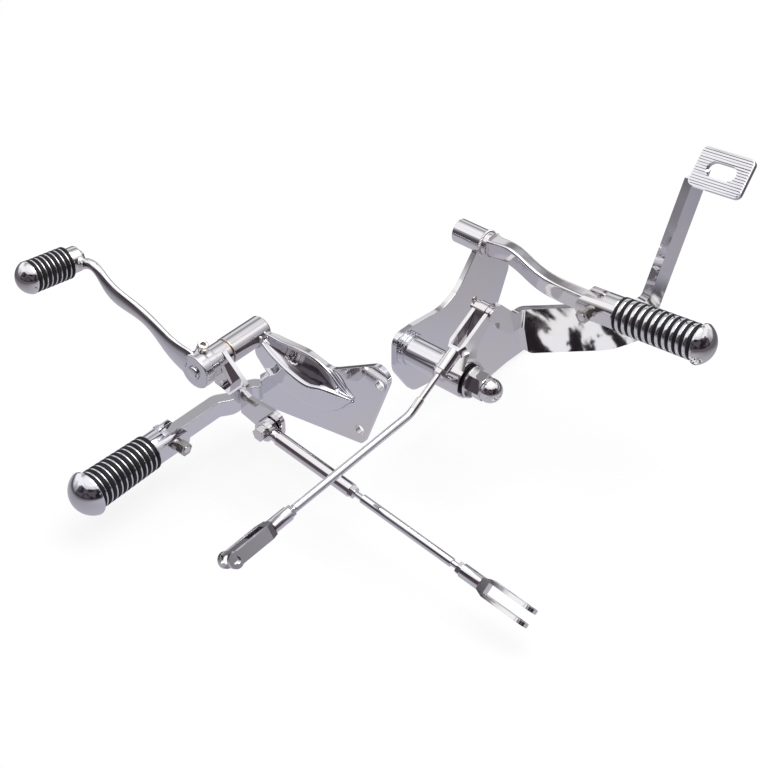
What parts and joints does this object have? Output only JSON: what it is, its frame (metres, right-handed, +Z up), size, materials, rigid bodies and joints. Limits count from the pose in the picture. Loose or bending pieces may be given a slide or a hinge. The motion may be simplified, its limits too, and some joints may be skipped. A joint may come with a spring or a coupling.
{
  "type": "motorcycle forward controls",
  "caption": "Chromed shift and brake forward controls: frame plates, folding foot pegs, shift lever with toe peg, brake pedal with ribbed pad, and control rods with clevis ends",
  "frame": {"origin": "midway between the two frame-bolt holes of the shift half's plate, on the plate's inboard face", "axes": "+Z is up; the shift half has outboard at -X and forward at +Y; the brake half has outboard at -Y and forward at +X"},
  "size_m": [0.5653, 0.573, 0.3286],
  "materials": {
    "chrome": "mirror-polished chrome plate",
    "rubber": "matt black moulded rubber",
    "zinc": "zinc-plated steel",
    "bronze": "sintered bronze, oiled"
  },
  "bodies": {
    "mounts": {"left_mount_plate": "chrome", "left_tube_bracket": "chrome", "shift_shaft_tube": "chrome", "shift_shaft_bushes": "bronze", "left_peg_arm": "chrome", "right_mount_plate": "chrome", "right_upper_tube": "chrome", "right_peg_arm": "chrome", "brake_pivot_tube": "chrome", "brake_pivot_collar": "chrome", "brake_pivot_bolt": "chrome", "brake_pivot_seal": "rubber", "brake_pivot_washer": "chrome", "brake_pivot_nut": "chrome"},
    "shift_lever_set": {"shift_shaft": "chrome", "shift_shaft_circlip": "zinc", "shift_crank": "chrome", "shift_lever": "chrome", "shift_lever_clamp_bolt": "zinc", "toe_peg_core": "chrome", "toe_peg_rings": "rubber", "toe_peg_cap": "chrome", "toe_peg_bolt": "zinc", "rod_end_bolt": "chrome", "rod_end_nut": "zinc", "rod_end_ball": "chrome"},
    "shift_rod_set": {"shift_rod_end": "chrome", "shift_rod": "chrome", "shift_rod_jam_nuts": "chrome", "shift_rod_clevis": "chrome"},
    "left_peg": {"left_peg_core": "chrome", "left_peg_rings": "rubber", "left_peg_cap": "chrome", "left_peg_pin": "chrome", "left_peg_nut": "zinc"},
    "brake_pedal_set": {"brake_pedal": "chrome", "brake_pedal_pad": "chrome", "brake_pivot_bush": "bronze"},
    "brake_rod_set": {"brake_clevis_front": "chrome", "brake_clevis_rear": "chrome", "brake_rod": "chrome", "brake_rod_jam_nuts": "chrome", "brake_clevis_pin": "chrome", "brake_clevis_cotter": "zinc"},
    "right_peg": {"right_peg_core": "chrome", "right_peg_rings": "rubber", "right_peg_cap": "chrome", "right_peg_pin": "chrome", "right_peg_nut": "zinc"}
  },
  "joints": [
    {"name": "shift_lever_pivot", "type": "hinge", "parent": "mounts", "child": "shift_lever_set", "pos_m": [-0.05, 0.147, 0.0205], "axis": [1, 0, 0], "range_deg": [-12, 12]},
    {"name": "shift_rod_pivot", "type": "hinge", "parent": "shift_lever_set", "child": "shift_rod_set", "pos_m": [-0.0728, 0.07328, -0.02397], "axis": [1, 0, 0], "range_deg": [-12, 12]},
    {"name": "left_peg_fold", "type": "hinge", "parent": "mounts", "child": "left_peg", "pos_m": [-0.117, 0.166, -0.058], "axis": [0, 1, 0], "range_deg": [0, 85]},
    {"name": "brake_pedal_pivot", "type": "hinge", "parent": "mounts", "child": "brake_pedal_set", "pos_m": [0.076, -0.045, 0.014], "axis": [0, 1, 0], "range_deg": [0, 12]},
    {"name": "brake_rod_pivot", "type": "hinge", "parent": "brake_pedal_set", "child": "brake_rod_set", "pos_m": [0.101, -0.0523, 0.0797], "axis": [0, 1, 0], "range_deg": [-12, 0]},
    {"name": "right_peg_fold", "type": "hinge", "parent": "mounts", "child": "right_peg", "pos_m": [0.188, -0.122, 0.0715], "axis": [-1, 0, 0], "range_deg": [0, 85]}
  ],
  "couplings": [
    {"joint": "shift_rod_pivot", "follows": "shift_lever_pivot", "ratio": -1},
    {"joint": "brake_rod_pivot", "follows": "brake_pedal_pivot", "ratio": -1}
  ]
}
